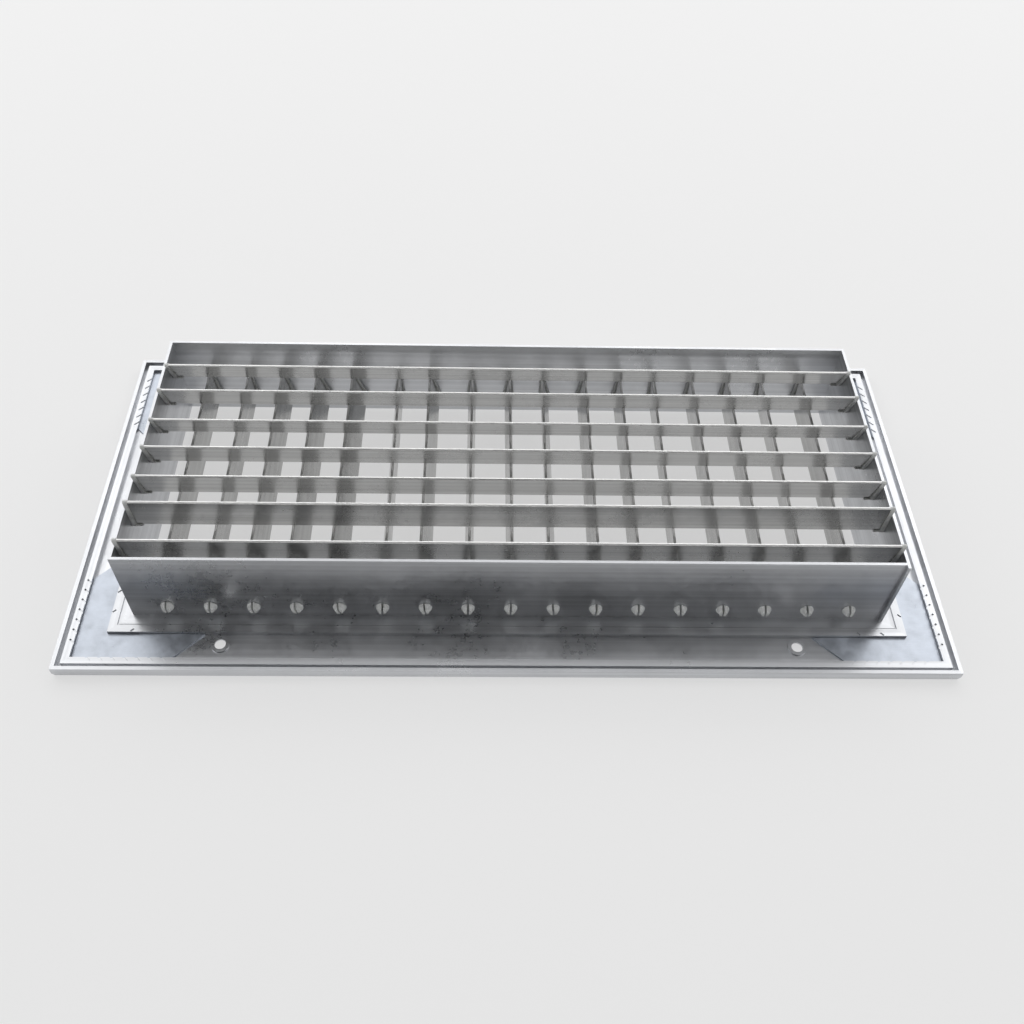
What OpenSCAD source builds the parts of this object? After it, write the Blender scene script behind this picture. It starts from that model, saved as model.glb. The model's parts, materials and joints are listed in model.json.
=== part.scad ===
/* [Face] */
// Width of the face, outer edge to outer edge
face_w = 398; // [345:1:480]
// Height of the face, outer edge to outer edge
face_h = 196; // [165:1:240]
// Depth from the face to the top of the neck
depth = 45.5; // [42:0.5:60]
// Width of the flange, outer edge to neck
flange_w = 29.5; // [28:0.5:34]

/* [Frame profile] */
// Thickness of the neck wall
neck_t = 1.3; // [1:0.1:2]
// Thickness of the web between the ridges
web_t = 1.5; // [1.2:0.1:2]
// How far the face is dished between its two beads
dish = 1.2; // [0.6:0.1:1.5]
// Width of the rim along the outer edge
rim_w = 1.7; // [1.2:0.1:2.5]
// Height of the rim above the face
rim_h = 5.8; // [5.4:0.1:7]
// Width of the groove inside the rim
groove_w = 1.8; // [1.2:0.1:2.4]
// Width of the ridge that is staked over the corner plates
ridge_w = 3.3; // [2.4:0.1:4]
// Height of both ridges above the face
ridge_h = 5; // [4.6:0.1:5.6]
// Width of the channel that the corner plates lie in
channel_w = 13.2; // [12:0.1:14]
// Width of the inner ridge beside the channel
inner_ridge_w = 3.7; // [3:0.1:4.5]
// Width of the fine line between the inner ridge and the shelf
line_w = 0.6; // [0.4:0.1:0.8]
// Depth of that line
line_d = 0.5; // [0.3:0.1:0.8]
// How far the shelf lies below the ridges
shelf_drop = 0.3; // [0:0.1:0.6]
// Height of the slanted strip at the foot of the outer edge
edge_bevel_h = 2.4; // [1.5:0.1:3]
// How far that strip slants in
edge_bevel_in = 0.6; // [0.3:0.1:1]
// Width of the bead round the outside of the face
face_bead_w = 3; // [2:0.1:4]
// Size of the bevel where the face turns into the neck
mouth_bevel = 1.4; // [1:0.1:2]
// How far the right neck wall runs on past the lower one
neck_overrun = 1.6; // [0:0.1:3]

/* [Screw holes] */
// Radius of the screw holes
screw_r = 2.5; // [2:0.1:3]
// Distance of the screw holes from the middle of the long side
screw_x = 128.5; // [90:0.5:150]
// Radius of the raised ring that the countersink leaves on the back
dimple_r = 4.1; // [3.8:0.1:5]
// Height of that ring
dimple_h = 0.7; // [0.4:0.1:1]

/* [Corner plates] */
// Length of a corner plate along the outside, from the corner of the face
plate_reach = 50; // [40:1:60]
// Thickness of a corner plate
plate_t = 0.8; // [0.5:0.1:1.2]
// Gap between a corner plate and the ridges
plate_gap = 0.15; // [0.05:0.05:0.3]
// Number of chisel cuts that stake one arm of a plate
stakes = 7; // [4:1:8]
// Spacing of the chisel cuts
stake_pitch = 5.4; // [4.5:0.1:5.6]
// Distance of the first cut from the corner of the face
stake_start = 14.8; // [12:0.1:16]
// Width of a chisel cut
stake_w = 0.8; // [0.5:0.1:1]
// Depth of a chisel cut
stake_d = 0.6; // [0.3:0.1:1]

/* [Blades] */
// Distance from a blade's pivot to its tail
blade_reach = 16; // [13:0.1:17]
// Radius of a blade's nose
nose_r = 1.95; // [1.8:0.05:2.2]
// Radius of a blade's tail
tail_r = 0.6; // [0.4:0.05:0.8]
// Radius of the bore in a blade's nose that takes the cap's peg
port_r = 1.15; // [1:0.05:1.3]
// Depth of that bore
port_l = 9; // [8:0.5:15]
// Height of the front blades' pivots above the face
front_z = 12; // [11:0.1:14]
// Rise from the front row's pivots to the rear row's
row_rise = 22.7; // [21.5:0.1:26]
// Distance from the last front pivot to the inside of the neck
front_margin = 15.8; // [13:0.1:17]
// Distance from the last rear pivot to the inside of the neck
rear_margin = 10.05; // [9.8:0.05:12]

/* [End caps] */
// Thickness of a cap's plate
cap_t = 1.8; // [1.2:0.1:2.2]
// Radius of a cap round the nose
cap_r = 2.95; // [2.8:0.05:3.2]
// Radius of a cap at the tail
cap_tail_r = 0.9; // [0.7:0.05:1.1]
// How far a cap reaches under the nose
cup_l = 2.3; // [1:0.1:4]
// Wall of the cup under the nose
cup_t = 0.8; // [0.6:0.05:0.85]
// Gap between a cap and the neck wall
cap_gap = 0.2; // [0.1:0.05:0.4]
// Radius of a pivot pin
pin_r = 2.45; // [2.2:0.05:2.6]
// Radius of a pin's barb where it is widest
barb_r = 2.95; // [2.7:0.05:3.2]
// Radius of a barb at its tip
barb_tip_r = 1.7; // [1.4:0.1:2]
// Length of a barb
barb_l = 2.8; // [2:0.1:4]
// Width of the split in a barb
split_w = 0.9; // [0.6:0.1:1.2]
// Running clearance of a pin in its hole
pin_clear = 0.05; // [0.02:0.01:0.1]

/* [Blade settings] */
// Tilt of each front blade, left to right, tail towards +X
front_tilt = [-2.4, 0.8, -7.4, -12.3, -15.6, 4.4, -9.4, 1.1, 1.5, -7.6, 4.5, 1.1, -7.2, -3, -4.7, -10.1, -3.7];
// Tilt of each rear blade, far side to near side, tail towards +Y
rear_tilt = [-34, -29.5, -31, -26, -22, -10, -16];

/* [Hidden] */
half_w = face_w / 2;
half_h = face_h / 2;
in_w = half_w - flange_w - neck_t;  // inside of the neck, half its width
in_h = half_h - flange_w - neck_t;  // inside of the neck, half its height
front_count = len(front_tilt);
rear_count = len(rear_tilt);
front_pitch = 2 * (in_w - front_margin) / (front_count - 1);
rear_pitch = 2 * (in_h - rear_margin) / (rear_count - 1);
rear_z = front_z + row_rise;
web_z = dish + web_t;
ridge_at = rim_w + groove_w;  // outer edge to the start of the ridge
channel_at = ridge_at + ridge_w;
shoulder_at = channel_at + channel_w;
line_at = shoulder_at + inner_ridge_w;
front_len = 2 * (in_h - cap_gap - cap_t);
rear_len = 2 * (in_w - cap_gap - cap_t);
peg_clear = 0.04;
nose_clear = 0.08;
barb_gap = 0.15;
barb_land = 0.6;  // straight stretch at the barb's shoulder
peg_l = port_l - 1;
over = 1;  // how far a cutter passes what it cuts
arc_n = 14;  // sides of a nose
tip_n = 4;  // sides of a tail

function two(i) = i < 10 ? str("0", i) : str(i);

// Pivot places of the two rows; front blades count from the left, rear ones from the far side
function front_x(i) = (i - (front_count + 1) / 2) * front_pitch;
function rear_y(k) = ((rear_count + 1) / 2 - k) * rear_pitch;

// Section of the frame: x runs in from the outer edge, y runs up from the face
module side_profile() {
    bead_in = edge_bevel_in + face_bead_w;
    mouth = flange_w + neck_t;
    polygon([
        [0, edge_bevel_h], [0, rim_h], [rim_w, rim_h], [rim_w, web_z],
        [ridge_at, web_z], [ridge_at, ridge_h], [channel_at, ridge_h], [channel_at, web_z],
        [shoulder_at, web_z], [shoulder_at, ridge_h], [line_at, ridge_h],
        [line_at, ridge_h - line_d], [line_at + line_w, ridge_h - line_d],
        [line_at + line_w, ridge_h - shelf_drop], [flange_w, ridge_h - shelf_drop],
        [flange_w, depth], [mouth, depth], [mouth, mouth_bevel], [mouth - mouth_bevel, 0],
        [line_at + dish, 0], [line_at, dish], [bead_in + dish, dish], [bead_in, 0],
        [edge_bevel_in, 0]
    ]);
}

// A side of the frame along X, with its outer edge at y = -half, mitred at both ends
module mitred_side(width, half) {
    run = flange_w + neck_t + over;
    intersection() {
        translate([-width / 2, -half, 0])
            rotate([90, 0, 90]) linear_extrude(width) side_profile();
        translate([0, -half, -over]) linear_extrude(depth + 2 * over)
            polygon([[-width / 2, 0], [width / 2, 0], [width / 2 - run, run], [run - width / 2, run]]);
    }
}

// Chisel cuts across the ridges at both ends of a side
module stake_cuts(width, half) {
    for (s = [-1, 1]) for (i = [0:stakes - 1]) {
        x = width / 2 - stake_start - i * stake_pitch;
        stake_cut(s * x, channel_at - half - ridge_w / 4, -45 * s, ridge_w);
        if (i % 2 == 1 && x < width / 2 - shoulder_at - stake_w * 3)
            stake_cut(s * x, shoulder_at - half + inner_ridge_w / 4, 45 * s, inner_ridge_w / 2);
    }
}

module stake_cut(x, y, turn, length) {
    translate([x, y, ridge_h - stake_d]) rotate([0, 0, turn])
        translate([-stake_w / 2, -length / 2, 0]) cube([stake_w, length, stake_d + over]);
}

// Holes for the pivot pins through a neck wall; d is the wall's inner face
module pin_holes(spots, d, z) {
    for (x = spots) translate([x, -d + over, z]) rotate([90, 0, 0])
        cylinder(r = pin_r + pin_clear, h = neck_t + 2 * over, $fn = 48);
}

module screw_ring(x) {
    translate([x, flange_w / 2 - half_h, dish + 0.2])
        cylinder(r = dimple_r, h = web_t + dimple_h - 0.2, $fn = 48);
}

module screw_bore(x) {
    translate([x, flange_w / 2 - half_h, 0]) {
        cylinder(r = screw_r, h = depth, $fn = 48);
        translate([0, 0, dish - 0.1])
            cylinder(r1 = dimple_r - 0.3, r2 = screw_r, h = web_t + dimple_h - 0.7, $fn = 48);
    }
}

// A long side of the frame, in the near side's place
module long_side() {
    difference() {
        union() {
            mitred_side(face_w, half_h);
            for (s = [-1, 1]) screw_ring(s * screw_x);
        }
        for (s = [-1, 1]) screw_bore(s * screw_x);
        pin_holes([for (i = [1:front_count]) front_x(i)], in_h, front_z);
        stake_cuts(face_w, half_h);
    }
}

// A short side of the frame, lying along X with its outer edge towards -Y
module short_side() {
    difference() {
        mitred_side(face_h, half_w);
        pin_holes([for (k = [1:rear_count]) rear_y(k)], in_w, rear_z);
        stake_cuts(face_h, half_w);
    }
}

// The strip of neck above the shelf at the near right corner; grow widens it for a cut
module overrun_block(from_y, to_y, grow) {
    translate([in_w - grow, from_y, ridge_h - shelf_drop])
        cube([neck_t + 2 * grow, to_y - from_y, depth - ridge_h + shelf_drop + (grow > 0 ? over : 0)]);
}

module frame_side_near() color([0.72, 0.74, 0.76]) difference() {
    long_side();
    overrun_block(-in_h - neck_t - over, -in_h + over, 0.02);
}
module frame_side_far() color([0.74, 0.76, 0.78]) mirror([0, 1, 0]) long_side();
module frame_side_left() color([0.7, 0.72, 0.75]) rotate([0, 0, -90]) short_side();
module frame_side_right() color([0.7, 0.72, 0.75]) union() {
    rotate([0, 0, 90]) short_side();
    overrun_block(-in_h - neck_t - neck_overrun, -in_h + over, 0);
}

// L plate in the channel of the near left corner, its arms cut off at 45 degrees
module corner_plate() {
    a = channel_at + plate_gap;
    b = shoulder_at - plate_gap;
    tip = plate_reach + b - a;
    translate([-half_w, -half_h, web_z]) linear_extrude(plate_t)
        polygon([[a, a], [plate_reach, a], [tip, b], [b, b], [b, tip], [a, plate_reach]]);
}
module corner_plate_near_left() color([0.5, 0.53, 0.58]) corner_plate();
module corner_plate_near_right() color([0.5, 0.53, 0.58]) mirror([1, 0, 0]) corner_plate();
module corner_plate_far_left() color([0.5, 0.53, 0.58]) mirror([0, 1, 0]) corner_plate();
module corner_plate_far_right() color([0.5, 0.53, 0.58]) rotate([0, 0, 180]) corner_plate();

// Drop outline: a round of radius r1 at the origin and one of r2 a distance d up, joined by tangents
module drop(r1, r2, d) {
    lean = asin((r1 - r2) / d);
    polygon(concat(
        [for (i = [0:arc_n]) let (a = lean - i * (180 + 2 * lean) / arc_n) r1 * [cos(a), sin(a)]],
        [for (i = [0:tip_n]) let (a = 180 - lean - i * (180 - 2 * lean) / tip_n)
            [r2 * cos(a), d + r2 * sin(a)]]
    ));
}

// Blade along X, its pivot on the X axis and its tail up
module blade(length) {
    difference() {
        rotate([90, 0, 90]) linear_extrude(length, center = true)
            drop(nose_r, tail_r, blade_reach - tail_r);
        for (s = [-1, 1]) translate([s * (length / 2 - port_l / 2 + over / 2), 0, 0])
            rotate([0, 90, 0]) cylinder(r = port_r, h = port_l + over, center = true, $fn = 32);
    }
}

// Cap for the +X end of a blade of that length: plate, cup under the nose, peg and barbed pin
module end_cap(length) {
    pin_l = cap_gap + neck_t + barb_gap;
    translate([length / 2, 0, 0]) {
        rotate([90, 0, 90]) linear_extrude(cap_t)
            drop(cap_r, cap_tail_r, blade_reach - tail_r);
        cup();
        translate([-peg_l, 0, 0]) rotate([0, 90, 0])
            cylinder(r = port_r - peg_clear, h = peg_l + over, $fn = 32);
        difference() {
            translate([cap_t, 0, 0]) rotate([0, 90, 0]) {
                translate([0, 0, -over]) cylinder(r = pin_r, h = pin_l + over, $fn = 48);
                translate([0, 0, pin_l]) cylinder(r = barb_r, h = barb_land, $fn = 48);
                translate([0, 0, pin_l + barb_land])
                    cylinder(r1 = barb_r, r2 = barb_tip_r, h = barb_l - barb_land, $fn = 48);
            }
            translate([cap_t + cap_gap + neck_t / 2, -split_w / 2, -barb_r - over])
                cube([barb_l + neck_t + over, split_w, 2 * (barb_r + over)]);
        }
    }
}

module cup() {
    difference() {
        translate([-cup_l, 0, 0]) rotate([0, 90, 0])
            cylinder(r = nose_r + nose_clear + cup_t, h = cup_l + over, $fn = 48);
        translate([-cup_l - over, 0, 0]) rotate([0, 90, 0])
            cylinder(r = nose_r + nose_clear, h = cup_l + over, $fn = 48);
        translate([-cup_l - over, -cap_r - over, -nose_r / 4])
            cube([cup_l + over, 2 * (cap_r + over), cap_r + over]);
    }
}

module end_caps(length) {
    end_cap(length);
    mirror([1, 0, 0]) end_cap(length);
}

// Carries a blade lying along X to its place and tilt in a row
module front_place(i) {
    translate([front_x(i), 0, front_z]) rotate([0, front_tilt[i - 1], 0])
        rotate([0, 0, 90]) children();
}
module rear_place(k) {
    translate([0, rear_y(k), rear_z]) rotate([-rear_tilt[k - 1], 0, 0]) children();
}

module front_blade(i) color([0.6, 0.61, 0.61]) front_place(i) blade(front_len);
module front_caps(i) color([0.82, 0.83, 0.83]) front_place(i) end_caps(front_len);
module rear_blade(k) color([0.64, 0.65, 0.66]) rear_place(k) blade(rear_len);
module rear_caps(k) color([0.82, 0.83, 0.83]) rear_place(k) end_caps(rear_len);

frame_side_near();
frame_side_far();
frame_side_left();
frame_side_right();
corner_plate_near_left();
corner_plate_near_right();
corner_plate_far_left();
corner_plate_far_right();
for (i = [1:front_count]) {
    front_blade(i);
    front_caps(i);
}
for (k = [1:rear_count]) {
    rear_blade(k);
    rear_caps(k);
}
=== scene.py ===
import json
import math

import bpy
import numpy as np
from mathutils import Matrix, Vector

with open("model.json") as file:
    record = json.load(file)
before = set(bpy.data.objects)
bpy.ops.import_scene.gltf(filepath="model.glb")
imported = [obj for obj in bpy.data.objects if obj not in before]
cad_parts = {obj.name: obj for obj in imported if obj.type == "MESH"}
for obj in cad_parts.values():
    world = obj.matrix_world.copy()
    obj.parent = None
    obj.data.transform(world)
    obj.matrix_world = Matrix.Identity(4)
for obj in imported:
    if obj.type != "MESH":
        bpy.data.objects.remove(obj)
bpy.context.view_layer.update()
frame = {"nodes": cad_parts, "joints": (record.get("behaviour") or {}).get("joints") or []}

scene = bpy.context.scene
scene.view_settings.view_transform = "Standard"
mm = 0.001

# ---------------------------------------------------------------- camera
cameraView = {
    "place": (-11.92, -327.82, 390.12),  # mm
    "yaw": 2.18,      # degrees to the right of +Y
    "pitch": 52.23,   # degrees below the horizon
    "roll": 2.16,
    "lens": 35.97,
    "shift": (0.0036, 0.0354),
}


def placeCamera(view):
    yaw, pitch, roll = (math.radians(view[k]) for k in ("yaw", "pitch", "roll"))
    ahead = Vector((math.sin(yaw) * math.cos(pitch), math.cos(yaw) * math.cos(pitch), -math.sin(pitch)))
    level = Vector((math.cos(yaw), -math.sin(yaw), 0))
    upright = level.cross(ahead)
    right = math.cos(roll) * level + math.sin(roll) * upright
    up = math.cos(roll) * upright - math.sin(roll) * level
    data = bpy.data.cameras.new("photoCamera")
    data.sensor_width = 36
    data.lens = view["lens"]
    data.shift_x, data.shift_y = view["shift"]
    data.clip_start, data.clip_end = 0.01, 50
    camera = bpy.data.objects.new("photoCamera", data)
    scene.collection.objects.link(camera)
    turn = Matrix((right, up, -ahead)).transposed().to_4x4()
    camera.matrix_world = Matrix.Translation(Vector(view["place"]) * mm) @ turn
    scene.camera = camera


placeCamera(cameraView)
print("camera placed")

# ---------------------------------------------------------------- node helpers


def newMaterial(name):
    material = bpy.data.materials.new(name)
    material.use_nodes = True
    tree = material.node_tree
    return material, tree, tree.nodes["Principled BSDF"]


def addNode(tree, kind, settings=None, **inputs):
    node = tree.nodes.new(kind)
    for key, value in (settings or {}).items():
        setattr(node, key, value)
    for key, value in inputs.items():
        socket = node.inputs[int(key[1:])] if key[0] == "i" and key[1:].isdigit() else node.inputs[key]
        if isinstance(value, bpy.types.NodeSocket):
            tree.links.new(value, socket)
        else:
            socket.default_value = value
    return node


def maths(tree, operation, a, b=0.0, clamp=False):
    node = addNode(tree, "ShaderNodeMath", {"operation": operation, "use_clamp": clamp}, i0=a, i1=b)
    return node.outputs[0]


def spread(tree, value, low, high, fromLow=0.3, fromHigh=0.7):
    node = addNode(tree, "ShaderNodeMapRange", {"clamp": True}, i0=value, i1=fromLow, i2=fromHigh, i3=low, i4=high)
    return node.outputs[0]


def mixColour(tree, factor, a, b):
    node = addNode(tree, "ShaderNodeMix", {"data_type": "RGBA"})
    for index, value in ((0, factor), (6, a), (7, b)):
        if isinstance(value, bpy.types.NodeSocket):
            tree.links.new(value, node.inputs[index])
        else:
            node.inputs[index].default_value = value if index == 0 else (*value[:3], 1)
    return node.outputs[2]


def noise(tree, vector, scale, detail=2.0, roughness=0.5):
    node = addNode(tree, "ShaderNodeTexNoise", Vector=vector, Scale=scale, Detail=detail, Roughness=roughness)
    return node.outputs[0]


def stretched(tree, coords, scale, place=(0, 0, 0), turn=(0, 0, 0)):
    node = addNode(tree, "ShaderNodeMapping", Vector=coords, Location=place, Rotation=turn, Scale=scale)
    return node.outputs[0]


# ---------------------------------------------------------------- finishes
frameFinish = {
    "colour": (0.60, 0.61, 0.63),
    "roughness": 0.30,
    "lineDepth": 0.000012,   # m, height of the die lines
    "lines": 1800,           # die lines per metre across the extrusion
    "smudge": 22,            # smudges per metre
}
bladeFinishAndShade = {
    # the blade metal is darker than the frame's: partly a duller mill finish, partly painted shade for the blades deep
    # inside the grille
    "colour": (0.46, 0.46, 0.455),
    "roughness": 0.22,
    "lineDepth": 0.000006,
    "lines": 2600,
    "smudge": 30,
    "tailHighlightFrom": 15.2,        # mm from the pivot, where the sawn, rough tail begins, painted lighter as a partly painted highlight
}
plateFinish = {
    "colour": (0.42, 0.45, 0.50),
    "roughness": 0.34,
    "spangle": 260,
}
capFinish = {
    "colour": (0.74, 0.75, 0.74),
    "roughness": 0.42,
}


def alongScale(grain, lines, along=5.0):
    return tuple(along if axis == grain else lines for axis in "XYZ")


def extrudedMetal(name, finish, grain, place=(0, 0, 0), turn=(0, 0, 0), tail=False):
    material, tree, shader = newMaterial(name)
    coords = addNode(tree, "ShaderNodeTexCoord").outputs["Object"]
    fine = noise(tree, stretched(tree, coords, alongScale(grain, finish["lines"])), 1.0, 3.0, 0.6)
    coarse = noise(tree, stretched(tree, coords, alongScale(grain, finish["lines"] / 5, 2.0)), 1.0, 2.0)
    smudge = noise(tree, coords, finish["smudge"], 5.0, 0.6)
    scuff = noise(tree, stretched(tree, coords, (900, 900, 900)), 0.35, 2.0, 0.7)
    base = finish["colour"]
    darker = tuple(c * 0.86 for c in base)
    lighter = tuple(min(1, c * 1.1) for c in base)
    tone = mixColour(tree, spread(tree, coarse, 0, 1), darker, lighter)
    tone = mixColour(tree, spread(tree, smudge, 0, 0.35, 0.5, 0.8), tone, tuple(c * 0.8 for c in base))
    rough = maths(tree, "ADD", spread(tree, smudge, finish["roughness"] - 0.05, finish["roughness"] + 0.09), spread(tree, scuff, -0.03, 0.04))
    height = maths(tree, "ADD", fine, maths(tree, "MULTIPLY", coarse, 1.5))
    depth = finish["lineDepth"]
    bump = addNode(tree, "ShaderNodeBump", Strength=1.0, Distance=depth, Height=height)
    if tail:
        local = addNode(tree, "ShaderNodeMapping", {"vector_type": "TEXTURE"}, Vector=coords, Location=place, Rotation=turn)
        up = addNode(tree, "ShaderNodeSeparateXYZ", Vector=local.outputs[0]).outputs[2]
        sawnTailAndHighlight = spread(tree, up, 0, 1, finish["tailHighlightFrom"] * mm, (finish["tailHighlightFrom"] + 0.35) * mm)
        grit = noise(tree, stretched(tree, coords, (1500, 1500, 1500)), 1.0, 3.0, 0.7)
        # the sawn tail is painted light grey: partly the bright cut metal, partly a painted highlight along the tail
        # edge
        tone = mixColour(tree, sawnTailAndHighlight, tone, (0.8, 0.8, 0.79))
        rough = maths(tree, "ADD", rough, maths(tree, "MULTIPLY", sawnTailAndHighlight, 0.12))
        bump = addNode(tree, "ShaderNodeBump", Strength=maths(tree, "MULTIPLY", sawnTailAndHighlight, 0.8), Distance=0.00025, Height=grit, Normal=bump.outputs[0])
    tree.links.new(tone, shader.inputs["Base Color"])
    tree.links.new(rough, shader.inputs["Roughness"])
    tree.links.new(bump.outputs[0], shader.inputs["Normal"])
    shader.inputs["Metallic"].default_value = 1.0
    return material


def rolledSheet(name, finish):
    material, tree, shader = newMaterial(name)
    coords = addNode(tree, "ShaderNodeTexCoord").outputs["Object"]
    patches = addNode(tree, "ShaderNodeTexVoronoi", {"feature": "SMOOTH_F1"}, Vector=coords, Scale=finish["spangle"])
    cloud = noise(tree, coords, 90, 5.0, 0.65)
    scratches = noise(tree, stretched(tree, coords, (160, 2400, 900), turn=(0, 0, 0.5)), 1.0, 2.0)
    base = finish["colour"]
    tone = mixColour(tree, spread(tree, cloud, 0, 1), tuple(c * 0.72 for c in base), tuple(c * 1.2 for c in base))
    tone = mixColour(tree, maths(tree, "MULTIPLY", patches.outputs["Distance"], 0.5), tone, tuple(c * 1.3 for c in base))
    rough = maths(tree, "ADD", spread(tree, cloud, finish["roughness"] - 0.08, finish["roughness"] + 0.12), spread(tree, scratches, 0, 0.08, 0.6, 0.75))
    bump = addNode(tree, "ShaderNodeBump", Strength=0.8, Distance=0.00003, Height=maths(tree, "ADD", cloud, scratches))
    tree.links.new(tone, shader.inputs["Base Color"])
    tree.links.new(rough, shader.inputs["Roughness"])
    tree.links.new(bump.outputs[0], shader.inputs["Normal"])
    shader.inputs["Metallic"].default_value = 1.0
    return material


def mouldedNylon(name, finish):
    material, tree, shader = newMaterial(name)
    coords = addNode(tree, "ShaderNodeTexCoord").outputs["Object"]
    cloud = noise(tree, coords, 420, 4.0, 0.6)
    grain = noise(tree, coords, 2600, 2.0)
    base = finish["colour"]
    tone = mixColour(tree, spread(tree, cloud, 0, 1), tuple(c * 0.82 for c in base), tuple(min(1, c * 1.12) for c in base))
    bump = addNode(tree, "ShaderNodeBump", Strength=0.5, Distance=0.00008, Height=maths(tree, "ADD", cloud, maths(tree, "MULTIPLY", grain, 0.3)))
    tree.links.new(tone, shader.inputs["Base Color"])
    tree.links.new(spread(tree, cloud, finish["roughness"] - 0.08, finish["roughness"] + 0.1), shader.inputs["Roughness"])
    tree.links.new(bump.outputs[0], shader.inputs["Normal"])
    shader.inputs["Subsurface Weight"].default_value = 0.35
    shader.inputs["Subsurface Radius"].default_value = (0.9, 0.9, 0.85)
    shader.inputs["Subsurface Scale"].default_value = 0.0012
    shader.inputs["IOR"].default_value = 1.53
    return material


def paint(nodeName, material):
    mesh = frame["nodes"][nodeName].data
    mesh.materials.clear()
    mesh.materials.append(material)


longSide = extrudedMetal("extrudedLong", frameFinish, "X")
shortSide = extrudedMetal("extrudedShort", frameFinish, "Y")
sheet = rolledSheet("rolledPlate", plateFinish)
nylon = mouldedNylon("milkyNylon", capFinish)
for nodeName in frame["nodes"]:
    if nodeName in ("frame_side_near", "frame_side_far"):
        paint(nodeName, longSide)
    elif nodeName.startswith("frame_side"):
        paint(nodeName, shortSide)
    elif nodeName.startswith("corner_plate"):
        paint(nodeName, sheet)
    elif "caps" in nodeName:
        paint(nodeName, nylon)

# Each blade's tilt is read from its hinge: the range is centred on the row's own limits
for joint in frame["joints"]:
    low = joint["range_deg"][0]
    place = tuple(joint["pos_m"])
    number = joint["name"].split("_")[-1]
    if joint["name"].startswith("front"):
        tilt = -45 - low
        paint("front_blade_" + number, extrudedMetal("frontMetal" + number, bladeFinishAndShade, "Y", place, (0, math.radians(tilt), 0), True))
    else:
        tilt = -36 - low
        paint("rear_blade_" + number, extrudedMetal("rearMetal" + number, bladeFinishAndShade, "X", place, (math.radians(-tilt), 0, 0), True))
print("finishes laid on", len(frame["nodes"]), "nodes")

# ---------------------------------------------------------------- light and floor
studio = {
    "floor": (0.86, 0.86, 0.86),
    "floorWhite": 0.55,      # how far the floor is lifted to white where it is seen
    "sky": 0.62,             # light of the surroundings on the object
    "lamps": [
        # name, place, size, strength (radiance), aimed at the origin
        ("softLeft", (-1.1, 0.75, 1.0), (0.9, 0.7), 1.6),
        ("softRight", (1.1, 0.75, 1.0), (0.9, 0.7), 1.6),
        ("softFar", (0.0, 1.5, 1.1), (1.6, 0.6), 1.4),
    ],
    # a near-black sheet on the camera side, unseen by the camera, put there to paint shade into the metal's
    # reflections
    "card": {"place": (-0.03, -0.72, 0.86), "size": (1.5, 0.95), "tone": 0.03},
}


def seenRays(tree):
    path = addNode(tree, "ShaderNodeLightPath")
    both = maths(tree, "MAXIMUM", path.outputs["Is Camera Ray"], path.outputs["Is Glossy Ray"])
    return maths(tree, "MAXIMUM", both, path.outputs["Is Transmission Ray"])


def flatPiece(name, corners):
    mesh = bpy.data.meshes.new(name)
    mesh.from_pydata(corners, [], [(0, 1, 2, 3)])
    piece = bpy.data.objects.new(name, mesh)
    scene.collection.objects.link(piece)
    return piece


def aimed(place, size):
    # corners of a rectangle at place that faces the origin
    centre = Vector(place)
    back = centre.normalized()
    side = Vector((0, 0, 1)).cross(back).normalized()
    up = back.cross(side)
    w, h = size[0] / 2, size[1] / 2
    return [centre - side * w - up * h, centre - side * w + up * h, centre + side * w + up * h, centre + side * w - up * h]


def buildStudio(settings):
    floor = flatPiece("floor", [(-8, -8, 0), (8, -8, 0), (8, 8, 0), (-8, 8, 0)])
    material, tree, shader = newMaterial("paleFloor")
    coords = addNode(tree, "ShaderNodeTexCoord").outputs["Object"]
    grain = noise(tree, coords, 60, 3.0)
    tone = mixColour(tree, grain, tuple(c * 0.99 for c in settings["floor"]), settings["floor"])
    tree.links.new(tone, shader.inputs["Base Color"])
    shader.inputs["Roughness"].default_value = 0.9
    shader.inputs["Specular IOR Level"].default_value = 0.1
    glow = addNode(tree, "ShaderNodeEmission", Color=(1, 1, 1, 1), Strength=1.0)
    factor = maths(tree, "MULTIPLY", seenRays(tree), settings["floorWhite"])
    mix = addNode(tree, "ShaderNodeMixShader", i0=factor, i1=shader.outputs[0], i2=glow.outputs[0])
    tree.links.new(mix.outputs[0], tree.nodes["Material Output"].inputs["Surface"])
    floor.data.materials.append(material)

    world = bpy.data.worlds.new("studioSky")
    scene.world = world
    world.use_nodes = True
    tree = world.node_tree
    sky = tree.nodes["Background"]
    sky.inputs["Color"].default_value = (1, 1, 1, 1)
    tree.links.new(spread(tree, seenRays(tree), settings["sky"], 1.0, 0, 1), sky.inputs["Strength"])

    for name, place, size, strength in settings["lamps"]:
        data = bpy.data.lights.new(name, "AREA")
        data.shape = "RECTANGLE"
        data.size, data.size_y = size
        data.energy = strength * math.pi * size[0] * size[1]
        lamp = bpy.data.objects.new(name, data)
        lamp.location = place
        lamp.rotation_mode = "QUATERNION"
        lamp.rotation_quaternion = Vector(place).to_track_quat("Z", "Y")
        scene.collection.objects.link(lamp)

    # painted shade: a black sheet that only the metal's reflections see
    card = settings["card"]
    piece = flatPiece("shadeCard", aimed(card["place"], card["size"]))
    material, tree, shader = newMaterial("blackShadeCard")
    shader.inputs["Base Color"].default_value = (card["tone"],) * 3 + (1,)
    shader.inputs["Roughness"].default_value = 1.0
    shader.inputs["Specular IOR Level"].default_value = 0.0
    piece.data.materials.append(material)
    piece.visible_camera = False


buildStudio(studio)
print("studio built")
